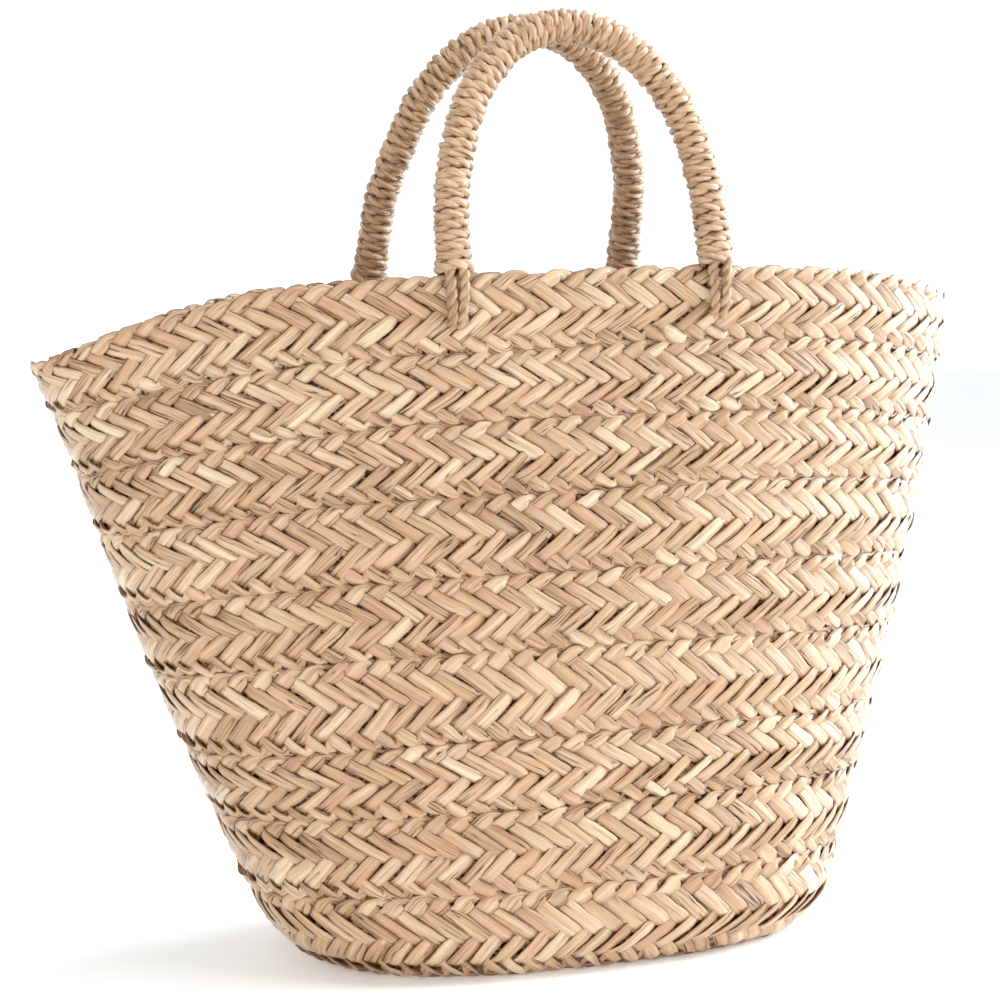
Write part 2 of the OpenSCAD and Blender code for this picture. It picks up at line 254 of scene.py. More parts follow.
def strand_mesh(name, grid, seeds, depth, along, face=1):
    """Mesh of leaves or cords from rings of points, grid[leaf, ring, point of the ring, xyz]. The UV is
    millimetres along the leaf and round it; the colour holds three chances of the leaf and the depth,
    which sets the painted shade.
    Face -1 turns the faces over."""
    leaves, stations, sides, _ = grid.shape
    vertices = grid.reshape(-1, 3)
    base = (np.arange(leaves) * stations * sides)[:, None, None]
    i = np.arange(stations - 1)[None, :, None] * sides
    j = np.arange(sides)[None, None, :]
    j2 = (j + 1) % sides
    quads = np.stack([base + i + j, base + i + sides + j, base + i + sides + j2, base + i + j2], axis=-1)
    quads = quads.reshape(-1, 4)[:, ::face]
    first = base[:, 0, 0][:, None] + np.arange(sides)[None, :]
    last = first + (stations - 1) * sides
    mesh = bpy.data.meshes.new(name)
    mesh.vertices.add(len(vertices))
    mesh.vertices.foreach_set("co", vertices.astype(np.float32).ravel())
    loops = np.concatenate([quads.ravel(), first[:, ::face].ravel(), last[:, ::-face].ravel()])
    sizes = np.concatenate([np.full(len(quads), 4), np.full(2 * leaves, sides)])
    starts = np.concatenate([[0], np.cumsum(sizes)[:-1]])
    mesh.loops.add(len(loops))
    mesh.loops.foreach_set("vertex_index", loops.astype(np.int32))
    mesh.polygons.add(len(sizes))
    mesh.polygons.foreach_set("loop_start", starts.astype(np.int32))
    mesh.polygons.foreach_set("loop_total", sizes.astype(np.int32))
    mesh.polygons.foreach_set("use_smooth", np.ones(len(sizes), dtype=bool))
    mesh.update(calc_edges=True)
    run = np.asarray(along) / MM
    shape = (leaves, stations - 1, sides)
    i = np.broadcast_to(np.arange(stations - 1)[None, :, None], shape).reshape(-1)
    j = np.broadcast_to(np.arange(sides)[None, None, :], shape).reshape(-1)
    u = np.stack([run[i], run[i + 1], run[i + 1], run[i]], axis=-1)
    v = np.stack([j, j, j + 1, j + 1], axis=-1)
    uv = np.zeros((len(loops), 2), np.float32)
    uv[:len(quads) * 4, 0] = u[:, ::face].ravel()
    uv[:len(quads) * 4, 1] = v[:, ::face].ravel()
    layer = mesh.uv_layers.new(name="along_leaf")
    layer.data.foreach_set("uv", uv.ravel())
    colour = mesh.color_attributes.new(name="leaf", type="FLOAT_COLOR", domain="POINT")
    values = np.ones((leaves, stations, sides, 4), np.float32)
    values[..., :3] = seeds[:, None, None, :]
    values[..., 3] = depth
    colour.data.foreach_set("color", values.ravel())
    mesh.validate()
    return mesh


def new_object(name, mesh, material):
    piece = bpy.data.objects.new(name, mesh)
    bpy.context.scene.collection.objects.link(piece)
    mesh.materials.append(material)
    return piece


def add_piece(name, mesh, body, node, material):
    piece = new_object(name, mesh, material)
    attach(piece, body)
    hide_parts(node)


def srgb(code):
    """Linear colour of an sRGB hex code."""
    parts = [int(code[k:k + 2], 16) / 255 for k in (1, 3, 5)]
    return tuple(c / 12.92 if c <= 0.04045 else ((c + 0.055) / 1.055) ** 2.4 for c in parts) + (1.0,)


def add_node(tree, kind, settings=None, links=None):
    """Add a shader node, set its properties or input values, and link (socket -> source socket)."""
    node = tree.nodes.new(kind)
    for key, value in (settings or {}).items():
        if isinstance(key, str) and hasattr(node, key):
            setattr(node, key, value)
        else:
            node.inputs[key].default_value = value
    for key, source in (links or {}).items():
        tree.links.new(source, node.inputs[key])
    return node


def dried_leaf(name, light, middle, dark, split_and_shade, stretch, bump_mm, edge):
    """Dried palm leaf, split and plaited while damp: a satin skin with fibres along the leaf, dark
    hairline splits, tones that change from leaf to leaf, and painted light and shade: the leaf's edges
    and the parts deep in the plait are darkened to a brown as painted shade, and each leaf's crown
    carries a painted highlight. Edge sets how strongly the edges are shaded and the crown is lit."""
    material = bpy.data.materials.new(name)
    material.use_nodes = True
    tree = material.node_tree
    shader = tree.nodes["Principled BSDF"]
    leaf = add_node(tree, "ShaderNodeAttribute", {"attribute_name": "leaf"})
    chances = add_node(tree, "ShaderNodeSeparateColor", links={"Color": leaf.outputs["Color"]})
    uv = add_node(tree, "ShaderNodeUVMap", {"uv_map": "along_leaf"})
    shift = add_node(tree, "ShaderNodeVectorMath", {"operation": "SCALE", "Scale": 57.0},
                     {0: leaf.outputs["Color"]})
    run = add_node(tree, "ShaderNodeVectorMath", {"operation": "MULTIPLY", 1: (stretch, 1.0, 1.0)},
                   {0: uv.outputs["UV"]})
    place = add_node(tree, "ShaderNodeVectorMath", {"operation": "ADD"},
                     {0: run.outputs[0], 1: shift.outputs[0]})
    # fibres 0.5 mm wide, and bands of several fibres 2 mm wide, both long in the leaf's direction
    fibre = add_node(tree, "ShaderNodeTexNoise", {"Scale": 1.9, "Detail": 3.0, "Roughness": 0.6},
                     {"Vector": place.outputs[0]})
    band = add_node(tree, "ShaderNodeTexNoise", {"Scale": 0.5, "Detail": 2.0, "Roughness": 0.5},
                    {"Vector": place.outputs[0]})
    # hairline splits: the narrow level lines of a third noise, drawn only where the bands are low
    split = add_node(tree, "ShaderNodeTexNoise", {"Scale": 0.85, "Detail": 1.0, "Roughness": 0.4},
                     {"Vector": place.outputs[0]})
    level = add_node(tree, "ShaderNodeMath", {"operation": "SUBTRACT", 1: 0.5}, {0: split.outputs["Fac"]})
    near = add_node(tree, "ShaderNodeMath", {"operation": "ABSOLUTE"}, {0: level.outputs[0]})
    line = add_node(tree, "ShaderNodeMapRange", {"From Min": 0.008, "From Max": 0.035, "To Min": 1.0,
                                                 "To Max": 0.0}, {"Value": near.outputs[0]})
    where = add_node(tree, "ShaderNodeMapRange", {"From Min": 0.38, "From Max": 0.50, "To Min": 0.9,
                                                  "To Max": 0.0}, {"Value": band.outputs["Fac"]})
    hairline = add_node(tree, "ShaderNodeMath", {"operation": "MULTIPLY"},
                        {0: line.outputs["Result"], 1: where.outputs["Result"]})
    # tone: a leaf's own chance and its bands
    own = add_node(tree, "ShaderNodeMath", {"operation": "MULTIPLY_ADD", 1: 0.36, 2: 0.02},
                   {0: chances.outputs["Red"]})
    tone = add_node(tree, "ShaderNodeMath", {"operation": "MULTIPLY_ADD", 1: 0.75},
                    {0: band.outputs["Fac"], 2: own.outputs[0]})
    ramp = add_node(tree, "ShaderNodeValToRGB", links={"Fac": tone.outputs[0]})
    ramp.color_ramp.elements[0].position = 0.25
    ramp.color_ramp.elements[0].color = srgb(dark)
    ramp.color_ramp.elements[1].position = 0.90
    ramp.color_ramp.elements[1].color = srgb(light)
    ramp.color_ramp.elements.new(0.56).color = srgb(middle)
    # some leaves dried pinker, others greener
    hue = add_node(tree, "ShaderNodeMix", {"data_type": "RGBA", 6: (1.02, 0.98, 0.985, 1),
                                           7: (0.98, 1.0, 0.955, 1)}, {0: chances.outputs["Green"]})
    tinted = add_node(tree, "ShaderNodeMix", {"data_type": "RGBA", "blend_type": "MULTIPLY", 0: 1.0},
                      {6: ramp.outputs["Color"], 7: hue.outputs[2]})
    fine = add_node(tree, "ShaderNodeMapRange", {"From Min": 0.33, "From Max": 0.67, "To Min": 0.84,
                                                 "To Max": 1.10}, {"Value": fibre.outputs["Fac"]})
    streaked = add_node(tree, "ShaderNodeMix", {"data_type": "RGBA", "blend_type": "MULTIPLY", 0: 1.0},
                        {6: tinted.outputs[2], 7: fine.outputs["Result"]})
    lined = add_node(tree, "ShaderNodeMix", {"data_type": "RGBA", 7: srgb(split_and_shade)},
                     {0: hairline.outputs[0], 6: streaked.outputs[2]})
    # painted shade: where a leaf lies near the middle of the plait's thickness, going under the others,
    # its colour goes towards the dark brown
    deep = add_node(tree, "ShaderNodeMapRange", {"interpolation_type": "SMOOTHSTEP", "From Min": 0.12,
                                                 "From Max": 0.46}, {"Value": leaf.outputs["Alpha"]})
    # painted shade: the leaf's two edges, which lie at 0 and 7 round the section, are darkened towards
    # the dark brown as the thin lines of shade between strands
    uv_parts = add_node(tree, "ShaderNodeSeparateXYZ", links={"Vector": uv.outputs["UV"]})
    to_edge = add_node(tree, "ShaderNodeMath", {"operation": "PINGPONG", 1: 3.5},
                       {0: uv_parts.outputs["Y"]})
    rim = add_node(tree, "ShaderNodeMapRange", {"From Min": 0.10, "From Max": 0.72,
                                                "To Min": 1.0 - 0.85 * edge, "To Max": 1.0},
                   {"Value": to_edge.outputs[0]})
    shade = add_node(tree, "ShaderNodeMath", {"operation": "MULTIPLY"},
                     {0: deep.outputs["Result"], 1: rim.outputs["Result"]})
    # painted light and shade: lighter along each leaf's crown, which faces the light, and darker and
    # browner towards its edges
    crown = add_node(tree, "ShaderNodeMapRange", {"From Min": 0.8, "From Max": 2.8},
                     {"Value": to_edge.outputs[0]})
    shaded_sides = (1 - 0.13 * edge, 1 - 0.20 * edge, 1 - 0.32 * edge, 1)
    lit_crown = (1 + 0.05 * edge, 1 + 0.05 * edge, 1 + 0.04 * edge, 1)
    crown_light_and_shade = add_node(tree, "ShaderNodeMix", {"data_type": "RGBA", 6: shaded_sides, 7: lit_crown},
                    {0: crown.outputs["Result"]})
    crown_lit_colour = add_node(tree, "ShaderNodeMix", {"data_type": "RGBA", "blend_type": "MULTIPLY", 0: 1.0},
                    {6: lined.outputs[2], 7: crown_light_and_shade.outputs[2]})
    # painted shade: the shade mask mixes the colour towards the dark brown
    shaded = add_node(tree, "ShaderNodeMix", {"data_type": "RGBA", 6: srgb(split_and_shade)},
                      {0: shade.outputs[0], 7: crown_lit_colour.outputs[2]})
    tree.links.new(shaded.outputs[2], shader.inputs["Base Color"])
    relief = add_node(tree, "ShaderNodeMath", {"operation": "MULTIPLY_ADD", 1: 0.8},
                      {0: band.outputs["Fac"], 2: fibre.outputs["Fac"]})
    cut = add_node(tree, "ShaderNodeMath", {"operation": "MULTIPLY_ADD", 1: -0.5},
                   {0: hairline.outputs[0], 2: relief.outputs[0]})
    bump = add_node(tree, "ShaderNodeBump", {"Strength": 0.8, "Distance": bump_mm * MM},
                    {"Height": cut.outputs[0]})
    tree.links.new(bump.outputs["Normal"], shader.inputs["Normal"])
    rough = add_node(tree, "ShaderNodeMapRange", {"From Min": 0.3, "From Max": 0.7, "To Min": 0.27,
                                                  "To Max": 0.42}, {"Value": fibre.outputs["Fac"]})
    tree.links.new(rough.outputs["Result"], shader.inputs["Roughness"])
    # the waxy skin lies on the leaf as a thin clear coat; it is left off at the splits and wherever shade
    # is painted, at the leaf's edges and deep in the plait, so the painted shade stays dark
    whole = add_node(tree, "ShaderNodeMath", {"operation": "SUBTRACT", 0: 1.0}, {1: hairline.outputs[0]})
    shine = add_node(tree, "ShaderNodeMath", {"operation": "MULTIPLY"},
                     {0: shade.outputs[0], 1: whole.outputs[0]})
    tree.links.new(shine.outputs[0], shader.inputs["Coat Weight"])
    tree.links.new(bump.outputs["Normal"], shader.inputs["Coat Normal"])
    shader.inputs["Coat Roughness"].default_value = 0.33
    shader.inputs["Coat IOR"].default_value = 1.6
    shader.inputs["Specular IOR Level"].default_value = 0.35
    shader.inputs["IOR"].default_value = 1.5
    return material


palm_leaf = dried_leaf("dried_palm_leaf_plaited", "#ead2b3", "#c69d77", "#a47951", "#381300",
                       stretch=0.035, bump_mm=0.9, edge=1.0)


def course_line(low, high):
    """Angle against distance round the basket at the middle height of a course."""
    angle = np.linspace(-np.pi, np.pi, 1441)
    points = wall_outside(angle, (low + high) / 2)
    steps = np.linalg.norm(np.diff(points, axis=0), axis=1)
    return angle, np.concatenate([[0], np.cumsum(steps)])


RIM_SEAM = len(SEAM_HEIGHTS) - 1
COURSE_CROWN = 0.7 * MM
COURSE_SINK = 0.35 * MM
OFF_GROUND = 0.1 * MM


def seam_wander(index, angle):
    """Height error of a seam, shared by the two courses it joins: the maker's hand isn't a ruler. The
    edge on the ground has none, and the rim half as much."""
    wave = np.zeros_like(angle)
    if index == 0:
        return wave
    chance = np.random.default_rng(500 + index)
    for k in (1, 2, 3, 5, 8):
        wave = wave + chance.normal(0, 0.9 / k ** 0.7) * np.cos(k * angle + chance.uniform(0, 6.28))
    return wave * MM * (0.5 if index == RIM_SEAM else 1.0)


def wall_course(index):
    """Rings of the leaves of one course, laid on the wall between its two seams."""
    low = SEAM_HEIGHTS[index] * MM / RIM_HEIGHT
    high = SEAM_HEIGHTS[index + 1] * MM / RIM_HEIGHT
    chance = np.random.default_rng(100 + index)
    angle, distance = course_line(low, high)
    length = distance[-1]
    count = int(round(length / STRAND_PITCH))
    pitch = length / count

    def seams(a):
        return low + seam_wander(index, a) / RIM_HEIGHT, high + seam_wander(index + 1, a) / RIM_HEIGHT

    # the width of the course all round, measured up the wall in eight steps
    a_fine = np.linspace(-np.pi, np.pi, 721)
    low_fine, high_fine = seams(a_fine)
    climb = np.zeros_like(a_fine)
    previous = wall_outside(a_fine, low_fine)
    for k in range(1, 9):
        following = wall_outside(a_fine, low_fine + (high_fine - low_fine) * k / 8)
        climb = climb + np.linalg.norm(following - previous, axis=-1)
        previous = following

    def width_at(s):
        return np.interp(np.interp(s % length, distance, angle), a_fine, climb)

    leaves, seeds, depth, along = plait(count, pitch, width_at, chance)
    a = np.interp(leaves[..., 0] % length, distance, angle)
    part = leaves[..., 1] / np.interp(a, a_fine, climb)
    seam_low, seam_high = seams(a)
    rise = seam_low + (seam_high - seam_low) * part
    outward = wall_outward(a, np.clip(rise, 0, 1))
    surface = wall_outside(a, np.clip(rise, 0, 1))
    # beyond the rim and the base edge the leaf goes on straight
    over = rise - np.clip(rise, 0, 1)
    up = unit(wall_outside(a, np.clip(rise, 0.01, 1)) - wall_outside(a, np.clip(rise, 0.01, 1) - 0.01))
    # a course is a little fuller along its middle than at its seams
    crown = COURSE_CROWN * (1 - (2 * np.clip(part, 0, 1) - 1) ** 2)
    points = surface + up * (over * RIM_HEIGHT)[..., None] \
        + outward * (leaves[..., 2] - HALF_BRAID + crown - COURSE_SINK)[..., None]
    points[..., 2] = np.maximum(points[..., 2], OFF_GROUND)
    return points, 0.5 + 0.22 * seeds, depth, along


course_names = ["corner_course"] + ["wall_course_%d" % k for k in range(1, 8)] + ["rim_course"]
for index, node in enumerate(course_names):
    mesh = strand_mesh(node + "_plait", *wall_course(index))
    add_piece(node + "_plait", mesh, "basket", node, palm_leaf)


# ---------------------------------------------------------------------------------------------
# The base. The same braid, flat: it starts folded back beside itself along the middle and takes
# one turn round that before the corner. Seen from below and from inside.
# ---------------------------------------------------------------------------------------------
CENTER_HALF_WIDTH = 36.6 * MM
BASE_OUT = (BASE_HALF_LENGTH - CORNER_INSET - 3.8 * MM, BASE_HALF_DEPTH - CORNER_INSET - 3.8 * MM)
BASE_IN = (BASE_OUT[0] - BASE_OUT[1] + CENTER_HALF_WIDTH, CENTER_HALF_WIDTH)
BASE_IN_POWER = 3.0
BASE_LIFT = 2.75 * MM


def base_outline(angle, half_x, half_y, power):
    reach = oval_reach(angle, power)
    return np.stack([half_x * np.cos(angle) * reach, half_y * np.sin(angle) * reach], axis=-1)


def base_course(inner, outer, seed):
    """Rings of the leaves of one flat course between two outlines."""
    chance = np.random.default_rng(seed)
    angle = np.linspace(-np.pi, np.pi, 1441)
    inside = base_outline(angle, *inner)
    outside = base_outline(angle, *outer)
    middle = (inside + outside) / 2
    steps = np.linalg.norm(np.diff(middle, axis=0), axis=1)
    distance = np.concatenate([[0], np.cumsum(steps)])
    length = distance[-1]
    count = int(round(length / STRAND_PITCH))
    pitch = length / count
    wide = np.linalg.norm(outside - inside, axis=-1)

    def width_at(s):
        return np.interp(np.interp(s % length, distance, angle), angle, wide)

    leaves, seeds, depth, along = plait(count, pitch, width_at, chance)
    a = np.interp(leaves[..., 0] % length, distance, angle)
    # the lower edge of the plait is the inner one here, and its outer face looks down
    part = leaves[..., 1] / np.interp(a, angle, wide)
    start = base_outline(a, *inner)
    end = base_outline(a, *outer)
    flat = start + (end - start) * part[..., None]
    z = BASE_LIFT - leaves[..., 2]
    points = np.concatenate([flat, np.maximum(z, 0.0)[..., None]], axis=-1)
    return points, 0.5 + 0.22 * seeds, depth, along, -1


# the fold in the middle is a closed slit
middle_slit = (BASE_IN[0] - BASE_IN[1], 0.4 * MM, 6.0)
base_rings = [("base_center_braid", middle_slit, (BASE_IN[0], BASE_IN[1], BASE_IN_POWER), 71),
              ("base_course", (BASE_IN[0], BASE_IN[1], BASE_IN_POWER),
               (BASE_OUT[0] + 1.5 * MM, BASE_OUT[1] + 1.5 * MM, BASE_POWER), 72)]
for node, inner, outer, seed in base_rings:
    mesh = strand_mesh(node + "_plait", *base_course(inner, outer, seed))
    add_piece(node + "_plait", mesh, "basket", node, palm_leaf)


# ---------------------------------------------------------------------------------------------
# Lacing cords. A thin cord of twisted leaf fibre runs in every seam, in and out of the edge folds
# of the two courses, and draws them together. It shows only as dark bits between the knobs.
# ---------------------------------------------------------------------------------------------
LACING_RADIUS = 1.15 * MM
LACING_SIDES = 6
STITCH_SWAY = 1.3 * MM
BASE_STITCH_SWAY = 0.9 * MM
# the cord lies deep in the seam: this value darkens its colour a little towards the dark brown, as
# painted shade
LACING_DEPTH = 0.4
lacing_leaf = dried_leaf("twisted_leaf_fibre_lacing", "#b98f6b", "#9c7452", "#7c583a", "#4a2505",
                         stretch=0.06, bump_mm=0.5, edge=0.0)


def tube_rings(line, radius, sides, normal):
    """Rings of points round a closed or open line; normal is any direction roughly square to it."""
    tangent = unit(np.gradient(line, axis=0))
    side = unit(np.cross(tangent, normal))
    out = np.cross(side, tangent)
    turn = np.arange(sides) * 2 * np.pi / sides
    ring = np.cos(turn)[None, :, None] * out[:, None, :] + np.sin(turn)[None, :, None] * side[:, None, :]
    return line[:, None, :] + ring * np.broadcast_to(np.asarray(radius), (len(line),))[:, None, None]


def seam_lacing(index):
    """Rings of the cord in one seam of the wall, with one stitch to each leaf, and the seam's length."""
    rise = SEAM_HEIGHTS[index] * MM / RIM_HEIGHT
    angle, distance = course_line(rise, rise)
    stitches = int(round(distance[-1] / STRAND_PITCH))
    s = np.linspace(0, distance[-1], stitches * 6 + 1)
    a = np.interp(s, distance, angle)
    zigzag = np.sin(s / distance[-1] * stitches * 2 * np.pi)
    height = rise + (seam_wander(index, a) + STITCH_SWAY * zigzag) / RIM_HEIGHT
    outward = wall_outward(a, height)
    line = wall_outside(a, height) - outward * HALF_BRAID
    return tube_rings(line, LACING_RADIUS, LACING_SIDES, outward), distance[-1]


def add_lacing(node, rings, length):
    along = np.linspace(0, length, len(rings))
    mesh = strand_mesh(node + "_cord", rings[None], np.full((1, 3), 0.5), LACING_DEPTH, along)
    add_piece(node + "_cord", mesh, "basket", node, lacing_leaf)


for index in range(1, RIM_SEAM):
    add_lacing("wall_lacing_%d" % index, *seam_lacing(index))

for node, half_x, half_y, power, lift in [
        ("base_lacing", BASE_IN[0], BASE_IN[1], BASE_IN_POWER, 2.7 * MM),
        ("corner_lacing", BASE_OUT[0] + 1.6 * MM, BASE_OUT[1] + 1.6 * MM, BASE_POWER, 2.0 * MM)]:
    a = np.linspace(-np.pi, np.pi, 401)
    stitch = BASE_STITCH_SWAY * np.sin(a * 60)
    flat = base_outline(a, half_x, half_y, power)
    line = np.concatenate([flat * (1 + stitch / half_y)[:, None], np.full((len(a), 1), lift)], axis=-1)
    add_lacing(node, tube_rings(line, LACING_RADIUS, LACING_SIDES, np.array([0.0, 0.0, 1.0])), 0.5)


# ---------------------------------------------------------------------------------------------
# Handles. A bundle of leaf stems bent into an arch, with a hard two-ply cord of twisted leaf wound
# round it in close turns from one leg end to the other. Both arches lean in over the basket. They
# were bent by hand, so their legs are a few millimetres off an even curve.
# ---------------------------------------------------------------------------------------------
WRAP_RADIUS = 9.2 * MM
PLY_RADIUS = 1.78 * MM
PLY_OFFSET = 1.22 * MM
CORD_PITCH = 5.0 * MM
CORD_TWIST = 14.5 * MM
SIDE_ANGLE = np.radians(48)
ARC_OFFSET = 42 * MM
LEG_CLEARANCE = 2 * MM
STEMS_RADIUS_MM = 5.3
STEMS_FLUTE_MM = 0.45
STEM_COUNT = 9
CORD_SIDES = 10
# a bend is (leg -1 left or 1 right, height on the leg, sideways shift there) and fades over this height
BEND_REACH = 34 * MM
handles = {
    "front_handle": dict(side=-1, half=67 * MM, rise=120.5 * MM, lean=np.radians(15), shift=-2 * MM,
                         rim=RIM_HEIGHT + FRONT_LIFT, sag=1.6 * MM,
                         bends=[(-1, 56 * MM, 3.0 * MM), (1, 46 * MM, -1.7 * MM),
                                (1, 100 * MM, 1.8 * MM)]),
    "back_handle": dict(side=1, half=71 * MM, rise=138 * MM, lean=np.radians(24), shift=4 * MM,
                        rim=RIM_HEIGHT - BACK_DROP, sag=0.0,
                        bends=[(-1, 4 * MM, -2.0 * MM), (-1, 72 * MM, 4.6 * MM),
                               (1, 70 * MM, -3.4 * MM)])}
twisted_cord = dried_leaf("twisted_leaf_cord_wrap", "#e2c5a2", "#c79f79", "#a0754c", "#381a02",
                          stretch=0.07, bump_mm=0.9, edge=0.0)


def side_depth(x, rise):
    """Depth of the wall's outside from the middle plane at a given x."""
    half_x = BASE_HALF_LENGTH + (RIM_HALF_LENGTH - BASE_HALF_LENGTH) * rise \
        + 4 * END_BULGE * rise * (1 - rise)
    half_y = BASE_HALF_DEPTH + (RIM_HALF_DEPTH - BASE_HALF_DEPTH) * rise \
        - 4 * SIDE_WAIST * rise * (1 - rise)
    power = BASE_POWER + (RIM_POWER - BASE_POWER) * rise
    return half_y * (1 - (abs(x + RIM_SHIFT * rise) / half_x) ** power) ** (1 / power)


def leg_depth(handle):
    """Depth of the leg ends, over the middle of the braid, as the mean of a handle's two legs."""
    legs = [handle["shift"] + s * handle["half"] for s in (-1, 1)]
    return sum(side_depth(x, 1.0) for x in legs) / 2 - HALF_BRAID


def arch_line(handle, step):
    """Centre line of a handle as evenly spaced points, with the outward normal in the handle's plane."""
    side_r = handle["half"] + ARC_OFFSET
    crown_r = side_r - ARC_OFFSET / np.cos(SIDE_ANGLE)
    up = ARC_OFFSET * np.tan(SIDE_ANGLE)
    straight = handle["rise"] - crown_r - up
    turn = np.linspace(0, SIDE_ANGLE, 80)
    low = np.stack([side_r * np.cos(turn) - ARC_OFFSET, straight + side_r * np.sin(turn)], axis=-1)
    turn = np.linspace(SIDE_ANGLE, np.pi / 2, 80)[1:]
    high = np.stack([crown_r * np.cos(turn), straight + up + crown_r * np.sin(turn)], axis=-1)
    half = np.concatenate([[[handle["half"], 0.0]], low, high])
    line = np.concatenate([half, (half * [-1, 1])[::-1][1:]])
    for leg, height, sideways in handle["bends"]:
        near = np.clip(line[:, 0] * leg / (30 * MM), 0, 1) \
            * np.exp(-((line[:, 1] - height) / BEND_REACH) ** 2)
        line[:, 0] = line[:, 0] + sideways * near * np.clip(line[:, 1] / (25 * MM) + 0.25, 0, 1)
    line[:, 1] = line[:, 1] - handle["sag"] * np.clip(line[:, 1] / handle["rise"], 0, 1) ** 4
    length = np.concatenate([[0], np.cumsum(np.linalg.norm(np.diff(line, axis=0), axis=1))])
    s = np.linspace(0, length[-1], int(length[-1] / step))
    x = np.interp(s, length, line[:, 0])
    z = np.interp(s, length, line[:, 1])
    tangent = unit(np.stack([np.gradient(x), np.gradient(z)], axis=-1))
    return s, np.stack([x, z], axis=-1), np.stack([tangent[:, 1], -tangent[:, 0]], axis=-1)


def stand_up(handle, flat_x, flat_y, flat_z):
    """Move points drawn in the handle's own plane to where the handle stands."""
    lean = handle["lean"]
    side = handle["side"]
    y = side * leg_depth(handle) + flat_y * np.cos(lean) - side * flat_z * np.sin(lean)
    z = handle["rim"] + LEG_CLEARANCE + flat_z * np.cos(lean) + side * flat_y * np.sin(lean)
    return np.stack([flat_x + handle["shift"], y, z], axis=-1)


def wound_cord(handle, chance):
    """Two plies of one cord wound round the arch: rings of points for each ply."""
    s, line, normal = arch_line(handle, 0.5 * MM)
    length = s[-1]
    turns = (length - 1.6 * MM) / CORD_PITCH + 1.4
    coil_r = WRAP_RADIUS - PLY_RADIUS - PLY_OFFSET * 0.85
    steps = int(turns * 34)
    wind = np.linspace(0, turns * 2 * np.pi, steps)
    # the first and the last turn lie nearly flat, so the wrap ends square
    travel = 0.8 * MM + np.clip(wind / (2 * np.pi) - 0.7, 0, turns - 1.4) * CORD_PITCH
    marks = np.arange(0, turns * 2 * np.pi + 2, 1.3)
    uneven = np.interp(wind, marks, chance.normal(0, 0.34 * MM, len(marks)))
    travel = np.clip(travel + uneven, 0.6 * MM, length - 0.6 * MM)
    end_flare = 0.7 * MM * np.exp(-np.minimum(travel, length - travel) / (9 * MM))
    radius = coil_r + end_flare + 0.6 * uneven

    def place(along, around, r):
        cx = np.interp(along, s, line[:, 0])
        cz = np.interp(along, s, line[:, 1])
        nx = np.interp(along, s, normal[:, 0])
        nz = np.interp(along, s, normal[:, 1])
        x = cx + nx * np.cos(around) * r
        z = cz + nz * np.cos(around) * r
        return stand_up(handle, x, np.sin(around) * r, z)

    centre = place(travel, wind, radius)
    deeper = place(travel, wind, radius - 1 * MM)
    out = unit(centre - deeper)
    tangent = unit(np.gradient(centre, axis=0))
    side = unit(np.cross(tangent, out))
    run = np.concatenate([[0], np.cumsum(np.linalg.norm(np.diff(centre, axis=0), axis=1))])
    twist = run / CORD_TWIST * 2 * np.pi + 0.9 * np.interp(run, np.linspace(0, run[-1], 90),
                                                          chance.normal(0, 1, 90))
    plies = []
    for ply in (0, np.pi):
        offset = np.cos(twist + ply)[:, None] * out * 0.85 + np.sin(twist + ply)[:, None] * side * 0.95
        path = centre + offset * PLY_OFFSET
        lumps = np.interp(run, np.linspace(0, run[-1], 420), chance.normal(0, 1, 420))
        plies.append(tube_rings(path, PLY_RADIUS * (1 + 0.11 * lumps), CORD_SIDES, out))
    plies = np.stack(plies)
    # the side of the cord against the stems is deep in shade
    raised = ((plies - centre[None, :, None, :]) * out[None, :, None, :]).sum(axis=-1)
    depth = np.clip(raised / MM * 0.34 + 0.42, 0, 1)
    return plies, depth, run


def handle_core(handle):
    """The bundle of stems inside the wrap, seen only at the leg ends."""
    s, line, normal = arch_line(handle, 4 * MM)
    turn = np.arange(36) * 2 * np.pi / 36
    fluted = (STEMS_RADIUS_MM + STEMS_FLUTE_MM * np.cos(turn * STEM_COUNT)) * MM
    x = line[:, :1] + normal[:, :1] * np.cos(turn) * fluted
    z = line[:, 1:] + normal[:, 1:] * np.cos(turn) * fluted
    y = np.broadcast_to(np.sin(turn) * fluted, x.shape)
    return stand_up(handle, x, y, z + np.where(np.abs(line[:, 1:]) < 1 * MM, 0.8 * MM, 0.0))


for number, (body, handle) in enumerate(handles.items()):
    chance = np.random.default_rng(40 + number)
    plies, depth, along = wound_cord(handle, chance)
    seeds = 0.5 + 0.1 * chance.normal(0, 1, (2, 3))
    mesh = strand_mesh(body + "_cord", plies, seeds, depth, along)
    add_piece(body + "_cord", mesh, body, body + "_wrap", twisted_cord)
    rings = handle_core(handle)
    mesh = strand_mesh(body + "_stems", rings[None], np.full((1, 3), 0.4), 0.6,
                       np.linspace(0, 0.33, len(rings)))
    add_piece(body + "_stems", mesh, body, body + "_core", lacing_leaf)


# ---------------------------------------------------------------------------------------------
# Lashings. At each leg end two twisted cords come out from under the wrap, run down outside the
# rim course into one opening between the strands and come up again inside.
# ---------------------------------------------------------------------------------------------
LASH_DROP = 24 * MM
LASH_PLY_RADIUS = 1.65 * MM
LASH_PLY_OFFSET = 1.15 * MM
LASH_TWIST = 11 * MM
LASH_RINGS = 150
lash_leaf = dried_leaf("twisted_leaf_lashing", "#d0ac84", "#b78d66", "#976d47", "#4a2505",
                       stretch=0.07, bump_mm=0.8, edge=0.0)


